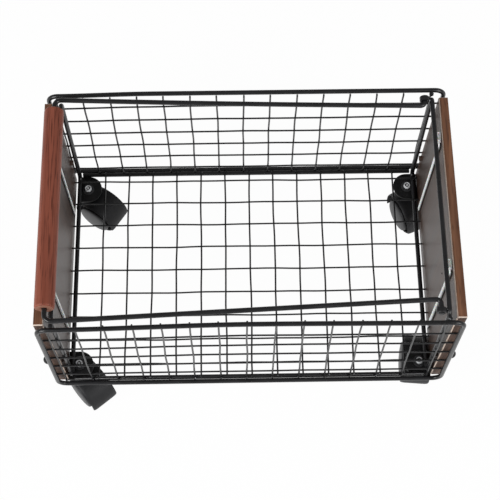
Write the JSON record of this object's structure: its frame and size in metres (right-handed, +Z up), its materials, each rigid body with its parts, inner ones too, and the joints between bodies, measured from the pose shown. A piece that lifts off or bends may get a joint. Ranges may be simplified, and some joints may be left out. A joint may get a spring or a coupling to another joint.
{
  "type": "wire basket trolley",
  "caption": "Low wheeled basket of black welded wire with thin wood end panels, a fold-down wire handle with a wood grip, and swivel castors with twin wheels.",
  "frame": {"origin": "on the ground, below the middle of the basket", "axes": "+X along the basket to the end with the handle's pivots, -Y to the front in the picture, +Z up"},
  "size_m": [0.3896, 0.2515, 0.2333],
  "materials": {
    "coated_wire": "satin black powder coat",
    "panel_wood": "dark brown board with a lacquered face",
    "grip_wood": "red-brown stained dowel",
    "nylon": "white nylon strap",
    "black_steel": "black painted steel",
    "zinc": "bright zinc plating",
    "hood_plastic": "fine matt black moulding",
    "wheel_plastic": "smooth black moulding"
  },
  "bodies": {
    "basket": {"castor_plate_front_left": "black_steel", "castor_plate_front_right": "black_steel", "castor_plate_rear_left": "black_steel", "castor_plate_rear_right": "black_steel", "castor_stem_front_left": "zinc", "castor_stem_front_right": "zinc", "castor_stem_rear_left": "zinc", "castor_stem_rear_right": "zinc", "castor_washer_front_left": "black_steel", "castor_washer_front_right": "black_steel", "castor_washer_rear_left": "black_steel", "castor_washer_rear_right": "black_steel", "end_panel_left": "panel_wood", "end_panel_right": "panel_wood", "end_ring_left": "coated_wire", "end_ring_right": "coated_wire", "floor_mesh": "coated_wire", "floor_rail_front": "coated_wire", "floor_rail_rear": "coated_wire", "front_wall_frame": "coated_wire", "front_wall_mesh": "coated_wire", "panel_bolt_left_front": "black_steel", "panel_bolt_left_rear": "black_steel", "panel_bolt_right_front": "black_steel", "panel_bolt_right_rear": "black_steel", "panel_nut_left_front": "black_steel", "panel_nut_left_rear": "black_steel", "panel_nut_right_front": "black_steel", "panel_nut_right_rear": "black_steel", "panel_tie_left_front": "nylon", "panel_tie_left_rear": "nylon", "panel_tie_right_front": "nylon", "panel_tie_right_rear": "nylon", "pivot_sleeve_front": "coated_wire", "pivot_sleeve_rear": "coated_wire", "rear_wall_frame": "coated_wire", "rear_wall_mesh": "coated_wire"},
    "handle": {"handle_wire": "coated_wire"},
    "grip": {"handle_grip": "grip_wood"},
    "castor_rear_left": {"castor_hood_rear_left": "hood_plastic", "castor_axle_rear_left": "zinc"},
    "wheel_rear_left_a": {"castor_wheel_rear_left_a": "wheel_plastic"},
    "wheel_rear_left_b": {"castor_wheel_rear_left_b": "wheel_plastic"},
    "castor_rear_right": {"castor_hood_rear_right": "hood_plastic", "castor_axle_rear_right": "zinc"},
    "wheel_rear_right_a": {"castor_wheel_rear_right_a": "wheel_plastic"},
    "wheel_rear_right_b": {"castor_wheel_rear_right_b": "wheel_plastic"},
    "castor_front_left": {"castor_hood_front_left": "hood_plastic", "castor_axle_front_left": "zinc"},
    "wheel_front_left_a": {"castor_wheel_front_left_a": "wheel_plastic"},
    "wheel_front_left_b": {"castor_wheel_front_left_b": "wheel_plastic"},
    "castor_front_right": {"castor_hood_front_right": "hood_plastic", "castor_axle_front_right": "zinc"},
    "wheel_front_right_a": {"castor_wheel_front_right_a": "wheel_plastic"},
    "wheel_front_right_b": {"castor_wheel_front_right_b": "wheel_plastic"}
  },
  "joints": [
    {"name": "handle_pivot", "type": "hinge", "parent": "basket", "child": "handle", "pos_m": [0.1657, 0, 0.2136], "axis": [0, 1, 0], "range_deg": [0, 135]},
    {"name": "grip_spin", "type": "hinge", "parent": "handle", "child": "grip", "pos_m": [-0.177, 0, 0.22427], "axis": [0, 1, 0], "continuous": true},
    {"name": "swivel_rear_left", "type": "hinge", "parent": "basket", "child": "castor_rear_left", "pos_m": [-0.1642, 0.0949, 0.0218], "axis": [0, 0, 1], "continuous": true},
    {"name": "spin_rear_left_a", "type": "hinge", "parent": "castor_rear_left", "child": "wheel_rear_left_a", "pos_m": [-0.15317, 0.08746, 0.0218], "axis": [0.5592, 0.829, 0], "continuous": true},
    {"name": "spin_rear_left_b", "type": "hinge", "parent": "castor_rear_left", "child": "wheel_rear_left_b", "pos_m": [-0.15317, 0.08746, 0.0218], "axis": [0.5592, 0.829, 0], "continuous": true},
    {"name": "swivel_rear_right", "type": "hinge", "parent": "basket", "child": "castor_rear_right", "pos_m": [0.1667, 0.0937, 0.0218], "axis": [0, 0, 1], "continuous": true},
    {"name": "spin_rear_right_a", "type": "hinge", "parent": "castor_rear_right", "child": "wheel_rear_right_a", "pos_m": [0.17211, 0.08155, 0.0218], "axis": [0.9135, 0.4067, 0], "continuous": true},
    {"name": "spin_rear_right_b", "type": "hinge", "parent": "castor_rear_right", "child": "wheel_rear_right_b", "pos_m": [0.17211, 0.08155, 0.0218], "axis": [0.9135, 0.4067, 0], "continuous": true},
    {"name": "swivel_front_left", "type": "hinge", "parent": "basket", "child": "castor_front_left", "pos_m": [-0.1667, -0.0957, 0.0218], "axis": [0, 0, 1], "continuous": true},
    {"name": "spin_front_left_a", "type": "hinge", "parent": "castor_front_left", "child": "wheel_front_left_a", "pos_m": [-0.15833, -0.10604, 0.0218], "axis": [0.7771, 0.6293, 0], "continuous": true},
    {"name": "spin_front_left_b", "type": "hinge", "parent": "castor_front_left", "child": "wheel_front_left_b", "pos_m": [-0.15833, -0.10604, 0.0218], "axis": [0.7771, 0.6293, 0], "continuous": true},
    {"name": "swivel_front_right", "type": "hinge", "parent": "basket", "child": "castor_front_right", "pos_m": [0.1663, -0.0976, 0.0218], "axis": [0, 0, 1], "continuous": true},
    {"name": "spin_front_right_a", "type": "hinge", "parent": "castor_front_right", "child": "wheel_front_right_a", "pos_m": [0.16746, -0.08435, 0.0218], "axis": [-0.9962, 0.0872, 0], "continuous": true},
    {"name": "spin_front_right_b", "type": "hinge", "parent": "castor_front_right", "child": "wheel_front_right_b", "pos_m": [0.16746, -0.08435, 0.0218], "axis": [-0.9962, 0.0872, 0], "continuous": true}
  ]
}
